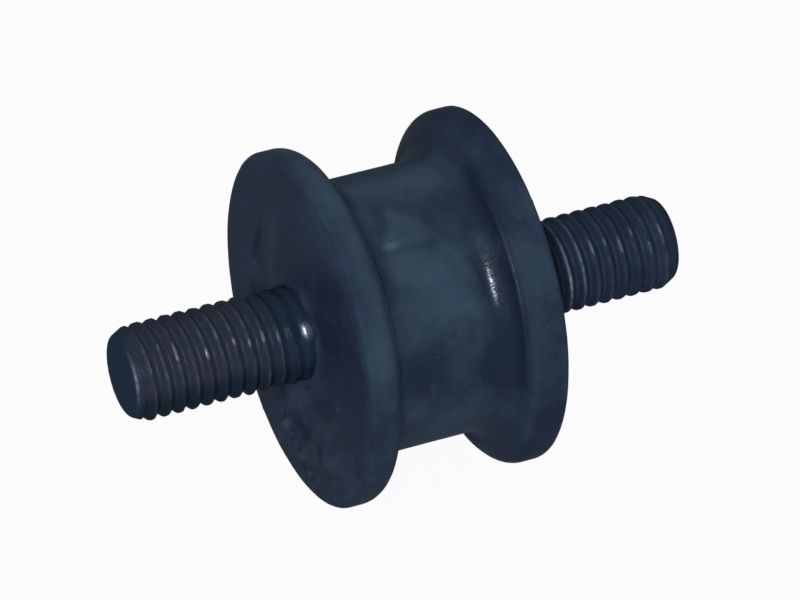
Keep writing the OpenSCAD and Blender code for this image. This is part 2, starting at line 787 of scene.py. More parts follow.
STUD_FINISH = SteelFinish(
    name="black_phosphate_steel",
    coat=(0.037, 0.038, 0.054, 1.0),
    hollow=(0.022, 0.036, 0.057, 1.0),
    worn=(0.34, 0.36, 0.40, 1.0),
    tint=(0.029, 0.038, 0.053, 1.0),
    dust=(0.085, 0.092, 0.120, 1.0),
    soot=(0.009, 0.018, 0.030, 1.0),
    metallic=0.2,
    bare_metallic=0.9,
    rough_low=0.30,
    rough_high=0.50,
    polished=0.16,
    patches=Mottle(420.0, 0.36, 0.68, 0.45),
    bump=0.5,
)
# A bluer, rougher copy of the same stud steel, matched to how the far stud is lit.
BLUED_STUD_FINISH = replace(
    STUD_FINISH,
    name="blued_phosphate_steel",
    coat=(0.029, 0.036, 0.067, 1.0),
    hollow=(0.011, 0.017, 0.029, 1.0),
    worn=(0.26, 0.29, 0.33, 1.0),
    dust=(0.060, 0.075, 0.125, 1.0),
    tint=(0.023, 0.038, 0.060, 1.0),
    rough_low=0.42,
    rough_high=0.55,
)
PLATE_FINISH = SteelFinish(
    name="bonded_plate_steel",
    coat=(0.024, 0.030, 0.048, 1.0),
    hollow=(0.015, 0.020, 0.034, 1.0),
    worn=(0.045, 0.052, 0.072, 1.0),
    tint=(0.020, 0.032, 0.048, 1.0),
    dust=(0.050, 0.058, 0.080, 1.0),
    soot=(0.009, 0.013, 0.022, 1.0),
    metallic=0.25,
    bare_metallic=0.6,
    rough_low=0.45,
    rough_high=0.65,
    polished=0.10,
    patches=Mottle(330.0, 0.36, 0.68, 0.45),
    bump=0.4,
)


@dataclass(frozen=True)
class Mark:
    """A lump or a hollow on an outer face, longer along the slant of the moulding's flow.

    Its place and half sizes are in millimetres. Its depth is its share of the full tone, above 0 for a
    pale lump and below 0 for a dark hollow.
    """

    front: float
    height: float
    half_width: float
    half_height: float
    depth: float

    def share(self, places: Places, slant: float) -> Array:
        """How much of the mark lies at each place.

        Args:
            places: Distance of each place to the front of the axis, and its height above it.
            slant: Climb of the moulding's flow towards the front.

        Returns:
            One share per place.
        """
        fronts, heights = places
        across = (fronts - self.front * MM) / (self.half_width * MM)
        climb = heights - self.height * MM - slant * (fronts - self.front * MM)
        return np.exp(-((across**2 + (climb / (self.half_height * MM)) ** 2) ** 1.5))


FACE_MARKS = (
    Mark(-3.6, -7.8, 0.6, 0.50, -0.60),
    Mark(1.7, -4.6, 0.7, 0.35, -0.60),
    Mark(0.2, -6.5, 1.6, 0.90, 0.45),
    Mark(4.7, -4.5, 2.4, 1.10, -0.40),
    Mark(-2.2, -9.4, 1.1, 0.55, -0.30),
    Mark(-2.4, -10.8, 1.2, 0.50, 0.70),
    Mark(-1.8, -11.5, 0.8, 0.50, -0.35),
    Mark(1.0, -9.1, 1.4, 0.60, -0.40),
    Mark(5.1, -6.6, 2.8, 0.90, 0.42),
    Mark(4.5, -9.1, 0.7, 1.30, -0.85),
    Mark(6.9, -8.9, 1.4, 0.90, 0.60),
    Mark(7.9, -9.6, 2.4, 0.30, -0.40),
    Mark(8.1, -2.4, 0.3, 0.35, 0.90),
    Mark(3.5, -12.8, 1.0, 0.60, 0.40),
    Mark(1.2, -11.4, 0.7, 0.45, 0.35),
)
# Bloomed rubber and painted light: the flakes are pale partly as painted glints on their ragged edges.
FACE_BLOOM = {
    "strip": 0.26,
    "lumps": 0.22,
    "raised": 0.30,
    "corner": 0.25,
    "pale": 0.62,
    "front_edge": 0.16,
    "flakes": 0.45,
}
# Painted shade: the stud's shadow and the shade in the tear, the groove, the pits and the gaps between
# flakes; the dark marks are darker patches.
FACE_SHADE = {"stain": 0.30, "tear": 0.40, "dip": 0.30, "pits": 0.22, "dark": 0.62, "gaps": 0.30}
FACE_SCUFF = {"raised": 0.08, "pale": 0.10, "flakes": 0.08}


@dataclass(frozen=True)
class FaceWear:
    """Torn rubber, flakes, a groove and a painted shadow of the stud on an outer face, shared by the lip and
    the skin inside it.

    Places on the face are their distance to the front of the axis and their height above it. A cut is
    the pair of noise values between which a kind of wear sets in.
    """

    end: End
    turned_by: float = 0.0
    flow: Pair = (0.8, 0.6)
    drawn_out: float = 0.42
    noise_station: float = 0.1 * MM
    face_wave: float = 0.03 * MM
    marks: tuple[Mark, ...] = FACE_MARKS
    mark_slant: float = 0.62
    mark_stray: Pair = mm(0.7, 0.35)
    tear: Route = route((-3.1, -7.7), (-2.4, -8.3), (-1.2, -8.4), (0.0, -9.0), (1.4, -9.9), (3.0, -10.4))
    tear_width: float = 0.20 * MM
    tear_depth: float = 0.16 * MM
    tear_stray: float = 0.5 * MM
    tear_cut: Pair = (-0.05, 0.30)
    flash_offset: Pair = mm(0.4, 0.95)
    flash_width: float = 0.60 * MM
    flash_height: float = 0.06 * MM
    flash_cut: Pair = (0.05, 0.45)
    flakes: Route = route((-3.0, -10.2), (-1.0, -11.5), (1.0, -12.3), (3.9, -13.4))
    flake_width: float = 0.60 * MM
    flake_height: float = 0.09 * MM
    flake_cut: Pair = (0.0, 0.25)
    groove: Route = route((-7.2, 7.0), (-8.1, 5.2), (-8.2, 3.8), (-7.9, 2.3), (-7.2, 0.6))
    groove_width: float = 0.20 * MM
    groove_depth: float = 0.06 * MM
    groove_stray: float = 0.2 * MM
    groove_cut: Pair = (-0.35, 0.25)
    strip_offset: float = 2.0 * MM
    strip_width: float = 1.2 * MM
    blob_heights: Pair = mm(-2.5, -5.5)
    blob_height: float = 0.10 * MM
    blob_share: float = 0.5
    fine_share: float = 0.5
    lump_cut: Pair = (-0.05, 0.50)
    pit_cut: Pair = (0.08, 0.55)
    # Painted shadow of the stud, to its right on the face, which also turns the face there more violet.
    stain: Sector = Sector(62, 43)
    stain_starts: Pair = mm(3.9, 5.5)
    stain_ends: Pair = mm(13.2, 14.4)
    # The violet tone grows with the face's shade, painted shade included.
    least_violet: float = 0.45
    shade_violet: float = 1.8
    corner: Sector = Sector(24, 17)
    corner_starts: Pair = mm(10.5, 13.0)
    front_azimuths: Pair = rad(0, 30)
    front_starts: Pair = mm(12.6, 14.8)

    def places(self, radii: Array, azimuths: Array) -> Places:
        """Distance to the front of the axis and height above it, with the face turned by its own angle."""
        radii, azimuths = np.broadcast_arrays(radii, azimuths + self.turned_by)
        return radii * np.sin(azimuths), radii * np.cos(azimuths)

    def rough(self, places: Places, pattern: Pattern) -> Array:
        """Noise over the face, drawn out along the flow, with another part of the pattern on each end.

        Args:
            places: Places on the face.
            pattern: The noise to use.

        Returns:
            One value per place, from about -1 to 1.
        """
        fronts, heights = places
        along = self.flow[0] * fronts + self.flow[1] * heights
        across = self.flow[0] * heights - self.flow[1] * fronts
        flat = np.stack([np.full(fronts.shape, self.noise_station), self.drawn_out * along, across], axis=-1)
        return waviness(flat, pattern, OTHER_END_SHIFT * self.end.value)

    def torn(self, places: Places) -> tuple[Array, Array]:
        """Torn rubber on the lower part of the face.

        Args:
            places: Places on the face.

        Returns:
            Shares of the raised rubber and of the tear beside it.
        """
        strayed = (
            places[0] + self.tear_stray * self.rough(places, Pattern.TEAR_FRONT),
            places[1] + self.tear_stray * self.rough(places, Pattern.TEAR_HEIGHT),
        )
        shift, climb = self.flash_offset
        beside = tuple((front + shift, height + climb) for front, height in self.tear)
        raised = near(path_gap(strayed, beside), 0.0, self.flash_width)
        raised *= rise(self.rough(places, Pattern.TORN_RUBBER), self.flash_cut)
        tear = near(path_gap(strayed, self.tear), 0.0, self.tear_width)
        return raised, tear * rise(self.rough(places, Pattern.TEAR_BREAKS), self.tear_cut)

    def blobs(self, places: Places) -> tuple[Array, Array]:
        """Uneven rubber on the lower part of the face.

        Args:
            places: Places on the face.

        Returns:
            Shares of soft lumps and of the pits between them.
        """
        low_part = rise(places[1], self.blob_heights)
        lumps = self.rough(places, Pattern.LUMPS) + self.fine_share * self.rough(places, Pattern.FINE_LUMPS)
        pits = self.rough(places, Pattern.PITS)
        return low_part * rise(lumps, self.lump_cut), low_part * rise(pits, self.pit_cut)

    def marked(self, places: Places) -> tuple[Array, Array]:
        """The single marks, with ragged edges.

        Args:
            places: Places on the face.

        Returns:
            Shares of the pale lumps and of the dark hollows among them.
        """
        strayed = (
            places[0] + self.mark_stray[0] * self.rough(places, Pattern.MARK_FRONT),
            places[1] + self.mark_stray[1] * self.rough(places, Pattern.MARK_HEIGHT),
        )
        pale = np.zeros(places[0].shape)
        dark = np.zeros(places[0].shape)
        for mark in self.marks:
            share = mark.depth * mark.share(strayed, self.mark_slant)
            pale += np.maximum(share, 0.0)
            dark += np.maximum(-share, 0.0)
        return pale, dark

    def flaked(self, places: Places) -> tuple[Array, Array]:
        """Loose flakes along the lower lip.

        Args:
            places: Places on the face.

        Returns:
            Shares of the flakes and of the gaps between them.
        """
        beside = near(path_gap(places, self.flakes), 0.0, self.flake_width)
        ragged = self.rough(places, Pattern.FLAKES)
        return beside * rise(ragged, self.flake_cut), beside * rise(-ragged, self.flake_cut)

    def dip(self, places: Places) -> Array:
        """The groove near the face's back edge, broken in places.

        Args:
            places: Places on the face.

        Returns:
            Share of the groove at each place.
        """
        strayed = (places[0] + self.groove_stray * self.rough(places, Pattern.GROOVE_STRAY), places[1])
        broken = rise(self.rough(places, Pattern.GROOVE_BREAKS), self.groove_cut)
        return broken * near(path_gap(strayed, self.groove), 0.0, self.groove_width)

    def relief(self, radii: Array, azimuths: Array) -> Array:
        """How far the face stands out of its true plane.

        Args:
            radii: Radius of each place.
            azimuths: Azimuth of each place.

        Returns:
            One height per place.
        """
        places = self.places(radii, azimuths)
        raised, tear = self.torn(places)
        lumps, pits = self.blobs(places)
        pale, dark = self.marked(places)
        flakes, gaps = self.flaked(places)
        uneven = self.blob_share * lumps - self.blob_share * pits + pale - dark
        relief = self.flash_height * raised + self.blob_height * uneven
        relief += self.face_wave * self.rough(places, Pattern.FACE_WAVE)
        relief += self.flake_height * (flakes - gaps)
        return relief - self.tear_depth * tear - self.groove_depth * self.dip(places)

    def edge(self, radius: float, azimuths: Array) -> Array:
        """How far the lip's inner edge strays from its circle, from about -1 to 1."""
        places = self.places(np.full(azimuths.shape, radius), azimuths)
        fine = self.fine_share * self.rough(places, Pattern.FINE_LIP_EDGE)
        return self.rough(places, Pattern.LIP_EDGE) + fine

    def violet(self, shade: Array) -> Array:
        """Share of the violet tone on the face, which is stronger where it is shaded, painted shade included.
        """
        return self.least_violet + self.shade_violet * shade

    def tones(self, radii: Array, azimuths: Array) -> tuple[Array, Array, Array]:
        """Tones of the face.

        Args:
            radii: Radius of each place.
            azimuths: Azimuth of each place.

        Returns:
            Shares of bloomed rubber with painted light, of shade, mostly painted, and of scuffed rubber.
        """
        places = self.places(radii, azimuths)
        turned = azimuths + self.turned_by
        inside = tuple((front + self.strip_offset, height) for front, height in self.groove)
        stained = self.stain.share(turned) * rise(radii, self.stain_starts) * fall(radii, self.stain_ends)
        shares = {
            "strip": near(path_gap(places, inside), 0.0, self.strip_width),
            "stain": stained,
            "corner": self.corner.share(turned) * rise(radii, self.corner_starts),
            "front_edge": rise(turned, self.front_azimuths) * rise(radii, self.front_starts),
            "dip": self.dip(places),
        }
        shares["raised"], shares["tear"] = self.torn(places)
        shares["lumps"], shares["pits"] = self.blobs(places)
        shares["pale"], shares["dark"] = self.marked(places)
        shares["flakes"], shares["gaps"] = self.flaked(places)
        return weighed(shares, FACE_BLOOM), weighed(shares, FACE_SHADE), weighed(shares, FACE_SCUFF)


@dataclass
class RubberSpool:
    """The moulded rubber: flanges, waist, fillets, ridges, lips and the room for the steel."""

    flange_r: float
    half_l: float
    plate_r: float
    seat_x: float
    plate_x: float
    head_r: float
    head_x: float
    wear: dict[End, FaceWear]
    flange_t: float = 3.0 * MM
    rim_inner_r: float = 1.5 * MM
    rim_outer_r: float = 0.4 * MM
    waist_r: float = 11.5 * MM
    fillet_r: float = 1.9 * MM
    ridge_h: float = 0.25 * MM
    ridge_stop: float = 115.0
    rim_lead: float = 10.0
    seat_r: float = 9.5 * MM
    lip_edge_r: float = 0.3 * MM
    head_chamfer: float = 0.6 * MM
    columns: int = 440
    waist_rows: int = 16
    fillet_rows: int = 14
    ridge_rows: int = 5
    hollow_rows: int = 8
    rim_rows: int = 12
    corner_rows: int = 6
    face_rows: int = 26
    edge_rows: int = 5
    eased_fillet_rows: int = 4
    eased_rim_rows: int = 2
    faded_ridge: tuple[Sector, Sector] = (Sector(-14, 34, 4), Sector(126, 38, 4))
    waves: tuple[tuple[float, Pattern], ...] = (
        (0.035 * MM, Pattern.MOULD_WAVE),
        (0.018 * MM, Pattern.MOULD_RIPPLE),
        (0.007 * MM, Pattern.MOULD_GRAIN),
    )
    seam_azimuth: float = math.radians(31)
    seam_height: float = 0.03 * MM
    seam_width: float = 0.18 * MM
    nib_station: float = -2.85 * MM
    nib_azimuth: float = math.radians(28.2)
    nib_height: float = 0.20 * MM
    nib_width: float = 0.34 * MM
    nib_length: float = 0.62 * MM
    nib_reach: float = 0.1 * MM
    face_fade: Pair = mm(-1.6, -0.2)
    edge_fade: Pair = mm(0.3, 2.4)
    edge_wobble: float = 0.28 * MM

    @property
    def flange_x(self) -> float:
        """Station of the flanges' inner faces."""
        return self.half_l - self.flange_t

    @property
    def fillet_x(self) -> float:
        """Station where the waist runs into a fillet."""
        return self.flange_x - self.ridge_h - self.fillet_r

    @staticmethod
    def eased(before: Array, after: Array, count: int) -> Array:
        """Points of a smooth curve between two stretches of a section.

        Args:
            before: The stretch that the curve leaves.
            after: The stretch that it runs into.
            count: Number of points between them.

        Returns:
            An array of (station, radius) rows.
        """
        reach = np.linalg.norm(after[0] - before[-1]) / 3
        leaving = before[-1] - before[-2]
        arriving = after[1] - after[0]
        first_handle = before[-1] + reach * leaving / np.linalg.norm(leaving)
        last_handle = after[0] - reach * arriving / np.linalg.norm(arriving)
        shares = np.linspace(0.0, 1.0, count + 2)[1:-1, None]
        curve = (1 - shares) ** 3 * before[-1] + 3 * shares * (1 - shares) ** 2 * first_handle
        return curve + 3 * shares**2 * (1 - shares) * last_handle + shares**3 * after[0]

    def ridge_faded(self, azimuths: Array) -> Array:
        """Share of the right flange's ridge that is smoothed over, at its top and low in front."""
        return np.maximum(*(sector.share(azimuths) for sector in self.faded_ridge))

    def nib(self, stations: Array, arcs: Array, length: float) -> Array:
        """Share of the torn nib beside the seam, by the station and the arc from its azimuth."""
        return spot(arcs / self.nib_width, (stations - self.nib_station) / length)

    def outside_section(self, ridged: bool) -> Array:
        """Outline of the right half's outside, from the middle of the waist to the foot of the lip.

        Args:
            ridged: Whether the mould's ridge stands at the end of the fillet or is smoothed over.

        Returns:
            An array of (station, radius) rows, equally long either way.
        """
        fillet_end_r = self.waist_r + self.fillet_r
        rim_centre = (self.flange_x + self.rim_inner_r, self.flange_r - self.rim_inner_r)
        corner_centre = (self.half_l - self.rim_outer_r, self.flange_r - self.rim_outer_r)
        edge_centre = (self.half_l - self.lip_edge_r, self.seat_r + self.lip_edge_r)
        climb = fillet_end_r + self.ridge_h - rim_centre[1]
        rim_start = 180 - math.degrees(math.asin(climb / self.rim_inner_r)) - self.rim_lead
        ridge = arc((self.flange_x, fillet_end_r), self.ridge_h, 180, self.ridge_stop, self.ridge_rows)
        rim = arc(rim_centre, self.rim_inner_r, rim_start, 90, self.rim_rows)
        foot = np.array((self.flange_x, fillet_end_r + self.ridge_h))
        shares = np.linspace(0.0, 1.0, self.hollow_rows)[1:-1, None]
        hollow = (1 - shares) ** 2 * ridge[-1] + 2 * shares * (1 - shares) * foot + shares**2 * rim[0]
        fillet = arc((self.fillet_x, fillet_end_r), self.fillet_r, -90, 0, self.fillet_rows)[:-1]
        inside = np.concatenate([fillet, ridge, hollow, rim[:-1]])
        if not ridged:
            kept = fillet[:-self.eased_fillet_rows]
            rest = rim[self.eased_rim_rows:-1]
            curve = self.eased(kept, rest, len(inside) - len(kept) - len(rest))
            inside = np.concatenate([kept, curve, rest])
        return np.concatenate([
            line((0.0, self.waist_r), (self.fillet_x, self.waist_r), self.waist_rows),
            inside,
            line((rim_centre[0], self.flange_r), (corner_centre[0], self.flange_r), self.corner_rows),
            arc(corner_centre, self.rim_outer_r, 90, 0, self.corner_rows)[:-1],
            line((self.half_l, corner_centre[1]), (self.half_l, edge_centre[1]), self.face_rows),
            arc(edge_centre, self.lip_edge_r, 0, -90, self.edge_rows),
        ])

    def room_section(self) -> Array:
        """Outline of the room for the right plate and head, from the foot of the lip inwards."""
        return np.array([
            (self.seat_x, self.seat_r),
            (self.seat_x, self.plate_r),
            (self.plate_x, self.plate_r),
            (self.plate_x, self.head_r),
            (self.head_x + self.head_chamfer, self.head_r),
            (self.head_x, self.head_r - self.head_chamfer),
        ])

    def section(self, ridged: bool) -> tuple[Array, Array]:
        """Outline of the whole body, from the left head's room to the right one's.

        Args:
            ridged: Whether the mould's ridges stand.

        Returns:
            The outline, and 1 for each of its points that lies on the outside.
        """
        outside, room = self.outside_section(ridged), self.room_section()
        right = np.concatenate([outside, room])
        is_outside = np.concatenate([np.ones(len(outside)), np.zeros(len(room))])
        left = right[:0:-1] * np.array([-1.0, 1.0])
        return np.concatenate([left, right]), np.concatenate([is_outside[:0:-1], is_outside])

    def unevenness(self, points: Array, azimuths: Array, section: Array) -> Array:
        """Moulding waves, the mould's seam and a torn nib.

        Args:
            points: The body's points.
            azimuths: Azimuths of the columns, as one row.
            section: The body's outline.

        Returns:
            How far each point stands off the true section.
        """
        stations, radii = section[:, :1], section[:, 1:]
        wave = sum(height * waviness(points, pattern) for height, pattern in self.waves)
        opposite = self.seam_azimuth + math.pi
        gap = np.minimum(azimuth_gap(azimuths, self.seam_azimuth), azimuth_gap(azimuths, opposite))
        seam = self.seam_height * near(gap * radii, 0.0, self.seam_width)
        arcs = azimuth_gap(azimuths, self.nib_azimuth) * radii
        nib = self.nib_height * self.nib(stations, arcs, self.nib_length)
        return wave + seam + np.where(radii < self.waist_r + self.nib_reach, nib, 0.0)

    def worn_faces(self, section: Array, azimuths: Array) -> tuple[Array, Array]:
        """Wear of the outer faces and of the lips' inner edges.

        Args:
            section: The body's outline.
            azimuths: Azimuths of the columns, as one row.

        Returns:
            How far each point moves along the axis, and how far outwards from it.
        """
        along = np.zeros((len(section), self.columns))
        outwards = np.zeros_like(along)
        radii = section[:, 1]
        face_end = self.flange_r - self.rim_outer_r
        for end, wear in self.wear.items():
            out = end.value * section[:, 0]
            on_face = (out > self.half_l - self.lip_edge_r - TINY) & (radii < face_end + TINY)
            share = fall(radii[on_face, None], self.face_fade, face_end)
            along[on_face] += end.value * share * wear.relief(radii[on_face, None], azimuths)
            near_lip = (out > self.seat_x - TINY) & (radii > self.seat_r - TINY)
            share = fall(radii[near_lip, None], self.edge_fade, self.seat_r)
            outwards[near_lip] += share * self.edge_wobble * wear.edge(self.seat_r, azimuths)
        return along, outwards

    def build(self, material: Material) -> Piece:
        """Makes the rubber body and puts it in the place of its solid.

        Args:
            material: Finish of the rubber.

        Returns:
            The piece.
        """
        section, is_outside = self.section(ridged=True)
        smoothed = self.section(ridged=False)[0]
        azimuths = round_azimuths(self.columns)[None, :]
        tangents = np.gradient(section, axis=0)
        normals = np.stack([-tangents[:, 1], tangents[:, 0]], axis=1)
        normals /= np.linalg.norm(normals, axis=1, keepdims=True)
        faded = self.ridge_faded(azimuths) * (section[:, :1] > 0.0)
        shape = section[:, None] + faded[..., None] * (smoothed - section)[:, None]
        true_points = turn(shape[..., 0], shape[..., 1], azimuths)
        push = is_outside[:, None] * self.unevenness(true_points, azimuths, section)
        along, outwards = self.worn_faces(section, azimuths)
        stations = shape[..., 0] + normals[:, :1] * push + along
        radii = shape[..., 1] + normals[:, 1:] * push + outwards
        piece = turned_piece("spool_rubber", turn(stations, radii, azimuths))
        SpoolTones(self).write(piece)
        dress(piece, material)
        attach(piece, BODY)
        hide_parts("rubber_body")
        return piece


# The crown share is a painted lighter top, and the under share a painted reflection of the floor along the
# bottom; patch and streaks are bloomed rubber.
WAIST_BLOOM = {"patch": 0.26, "crown": 0.74, "streaks": 0.16, "under": 0.30}
# The low_band share is painted shade low in front and the seam share painted shade along the mould's seam;
# dark is a darker patch.
WAIST_SHADE = {"dark": 0.20, "low_band": 0.22, "seam": 0.20}


@dataclass(frozen=True)
class SpoolTones:
    """Where the rubber spool is glossy, bloomed, lit with painted light, shaded, mostly with painted shade,
    violet or scuffed.

    Pairs of lengths are limits, counted from the size of the spool that they are used with.
    """

    spool: RubberSpool
    waist_ends: Pair = mm(-0.2, 0.9)
    waist_tops: Pair = mm(0.3, 0.8)
    patch_stations: tuple[float, ...] = mm(-1.6, 0.3, 1.1, 1.7, 3.2, 4.0)
    patch_tops: tuple[float, ...] = rad(8.5, 15.0, 24.0, 32.0, 46.6, 68.0)
    patch_edge: Pair = rad(-3, 4)
    patch_foot: Pair = rad(66, 84)
    patch_fade: Pair = mm(-4.6, -1.6)
    patch_fade_shares: Pair = (0.35, 0.65)
    patch_cut: Pair = (-0.4, 0.4)
    patch_cut_shares: Pair = (0.60, 0.70)
    leaf_station: float = -1.64 * MM
    leaf_degrees: float = 9.0
    leaf_lean: float = 0.104 * MM
    leaf_edge: Pair = mm(-0.4, 0.4)
    leaf_gain: float = 1.6
    # Painted lighter top along the waist's crown, and painted floor reflection along its bottom.
    crown: Sector = Sector(-6, 12)
    under: Pair = rad(92, 106)
    streaks: Sector = Sector(80, 24)
    streak_squeeze: float = 0.18
    streak_cut: Pair = (0.05, 0.55)
    # Painted shade along the mould's seam.
    seam_shift: float = math.radians(0.5)
    seam_width: float = 0.42 * MM
    seam_end: Pair = mm(0.2, 1.8)
    dark_place: Pair = (2.6 * MM, math.radians(10))
    dark_spread: Pair = (1.6 * MM, math.radians(14))
    # Painted shade in a band low on the waist's front.
    low_band: Sector = Sector(83, 10)
    low: Pair = rad(72, 100)
    rim_start: Pair = mm(0.1, 0.7)
    rim_end: Pair = mm(-1.3, -0.2)
    rim_loss: float = 0.7
    # Painted lighter top on the left rim, added to its pale, bloomed tone.
    rim_top: Sector = Sector(-18, 30)
    left_rim_bloom: Pair = (0.22, 0.26)
    right_rim_bloom: float = -0.08
    rim_shade: float = 0.38
    # Painted light along the foot of the ridges, which lightens the shade in the crease there.
    foot_station: float = 0.10 * MM
    foot_width: float = 0.20 * MM
    foot_height: float = 1.0 * MM
    foot_bloom: float = 0.22
    all_bloom: float = 0.12
    fillet_start: Pair = mm(-1.5, 0.5)
    fillet_stop: Pair = mm(-0.35, 0.35)
    fillet_front: Pair = rad(-4, 18)
    fillet_back: Pair = rad(90, 108)
    fillet_low: Pair = rad(55, 78)
    fillet_shade: Pair = (0.26, 0.36)
    nib_length: float = 0.60 * MM
    nib_scuff: float = 0.6
    face_inset: float = 0.1 * MM
    face_margin: float = 0.5 * MM
    face_bloom: float = 0.05
    gloss_start: Pair = mm(-0.2, 0.5)
    gloss_stop: Pair = mm(-0.02, 0.12)
    shine: Sector = Sector(49, 17, 4)
    curve_station: float = 0.9 * MM
    curve_width: float = 0.65 * MM
    ridge_station: float = -0.12 * MM
    ridge_width: float = 0.12 * MM
    ridge_gloss: float = 0.5

    def waist(self, at: Around) -> Array:
        """Share of the straight waist at each point."""
        ends = fall(np.abs(at.stations), self.waist_ends, self.spool.fillet_x)
        return ends * fall(at.radii, self.waist_tops, self.spool.waist_r)

    def rim(self, at: Around) -> Array:
        """Share of the flanges' rims, weaker towards the outer faces.

        Args:
            at: The spool's points.

        Returns:
            One share per point.
        """
        across = np.abs(at.stations)
        weaker = 1.0 - self.rim_loss * rise(across, self.rim_end, self.spool.half_l)
        return rise(across, self.rim_start, self.spool.flange_x) * weaker

    def patch(self, at: Around) -> Array:
        """The pale patch in front on the waist, with a leaf of it above the mould's seam.

        Args:
            at: The spool's points.

        Returns:
            Share of the patch at each point.
        """
        tops = np.interp(at.stations, self.patch_stations, self.patch_tops)
        patch = rise(at.azimuths - tops, self.patch_edge) * fall(at.azimuths, self.patch_foot)
        leaf_left = self.leaf_station - self.leaf_lean * (np.degrees(at.azimuths) - self.leaf_degrees)
        leaf = self.leaf_gain * rise(at.stations - leaf_left, self.leaf_edge)
        patch *= np.where(at.azimuths < self.spool.seam_azimuth, leaf, 1.0)
        least, gain = self.patch_fade_shares
        patch *= least + gain * rise(at.stations, self.patch_fade)
        least, gain = self.patch_cut_shares
        return patch * (least + gain * rise(waviness(at.points, Pattern.WAIST_PATCH), self.patch_cut))

    def waist_shares(self, at: Around) -> dict[str, Array]:
        """The kinds of bloomed rubber, painted light, painted shade and darker patches on the waist.

        Args:
            at: The spool's points.

        Returns:
            Share of each kind at each point, by its name.
        """
        squeezed = turn(at.stations, self.streak_squeeze * at.radii, at.azimuths)
        streaks = rise(waviness(squeezed, Pattern.WAIST_STREAKS), self.streak_cut)
        seam_gap = azimuth_gap(at.azimuths, self.spool.seam_azimuth - self.seam_shift) * at.radii
        dark_along = (at.stations - self.dark_place[0]) / self.dark_spread[0]
        dark_round = (at.azimuths - self.dark_place[1]) / self.dark_spread[1]
        return {
            "patch": self.patch(at),
            "crown": self.crown.share(at.azimuths),
            "streaks": streaks * self.streaks.share(at.azimuths),
            "under": rise(np.abs(at.azimuths), self.under),
            "dark": spot(dark_along, dark_round),
            "low_band": self.low_band.share(at.azimuths),
            "seam": near(seam_gap, 0.0, self.seam_width) * fall(at.stations, self.seam_end),
        }

    def bloom(self, at: Around, waist_bloom: Array) -> Array:
        """Pale, bloomed rubber and painted light on the waist and the left rim, and painted light along the
        foot of the ridges.

        Args:
            at: The spool's points.
            waist_bloom: Bloomed rubber and painted light of the waist.

        Returns:
            Share of bloomed rubber and painted light at each point.
        """
        least, gain = self.left_rim_bloom
        left_rim = least + gain * self.rim_top.share(at.azimuths)
        rim = np.where(at.stations < 0.0, left_rim, self.right_rim_bloom)
        rim = rim * self.rim(at) * fall(np.abs(at.azimuths), self.low)
        foot = near(np.abs(at.stations), self.spool.flange_x + self.foot_station, self.foot_width)
        foot *= at.radii > self.spool.waist_r + self.foot_height
        foot *= np.where(at.stations > 0.0, 1.0 - self.spool.ridge_faded(at.azimuths), 1.0)
        return self.all_bloom + waist_bloom + rim + self.foot_bloom * foot

    def right_shade(self, at: Around) -> Array:
        """Shade in the right fillet and low on the right rim.

        Args:
            at: The spool's points.

        Returns:
            Share of shade at each point.
        """
        across = np.abs(at.stations)
        hidden = rise(across, self.fillet_start, self.spool.fillet_x)
        hidden *= fall(across, self.fillet_stop, self.spool.flange_x)
        in_front = rise(at.azimuths, self.fillet_front) * fall(at.azimuths, self.fillet_back)
        least, gain = self.fillet_shade
        fillet = hidden * in_front * (least + gain * rise(np.abs(at.azimuths), self.fillet_low))
        rim = self.rim_shade * self.rim(at) * rise(np.abs(at.azimuths), self.low)
        return np.where(at.stations > 0.0, fillet + rim, 0.0)

    def gloss(self, at: Around) -> Array:
        """Gloss in the sheltered right fillet and on its ridge.

        Args:
            at: The spool's points.

        Returns:
            Share of gloss at each point.
        """
        across = np.abs(at.stations)
        sheltered = rise(across, self.gloss_start, self.spool.fillet_x)
        sheltered *= fall(across, self.gloss_stop, self.spool.flange_x)
        curve = near(at.stations, self.spool.fillet_x + self.curve_station, self.curve_width)
        ridge = near(at.stations, self.spool.flange_x + self.ridge_station, self.ridge_width)
        return sheltered * self.shine.share(at.azimuths) * np.maximum(curve, self.ridge_gloss * ridge)

    def write(self, piece: Piece) -> None:
        """Stores the masks that the rubber's material reads.

        Args:
            piece: The spool.
        """
        at = Around.of(piece)
        waist = self.waist(at)
        shares = self.waist_shares(at)
        bloom = self.bloom(at, waist * weighed(shares, WAIST_BLOOM))
        shade = self.right_shade(at) + waist * weighed(shares, WAIST_SHADE)
        arcs = azimuth_gap(at.azimuths, self.spool.nib_azimuth) * at.radii
        scuff = self.nib_scuff * waist * self.spool.nib(at.stations, arcs, self.nib_length)
        stain = np.zeros(at.stations.shape)
        for end, wear in self.spool.wear.items():
            on_face = end.value * at.stations > self.spool.half_l - self.spool.lip_edge_r - self.face_inset
            on_face &= at.radii < self.spool.flange_r - self.face_margin
            face_bloom, face_shade, face_scuff = wear.tones(at.radii[on_face], at.azimuths[on_face])
            bloom[on_face] = self.face_bloom + face_bloom
            shade[on_face] += face_shade
            stain[on_face] = wear.violet(face_shade)
            scuff[on_face] += face_scuff
        write_masks(piece, gloss=self.gloss(at), bloom=bloom, shade=shade, stain=stain, scuff=scuff)


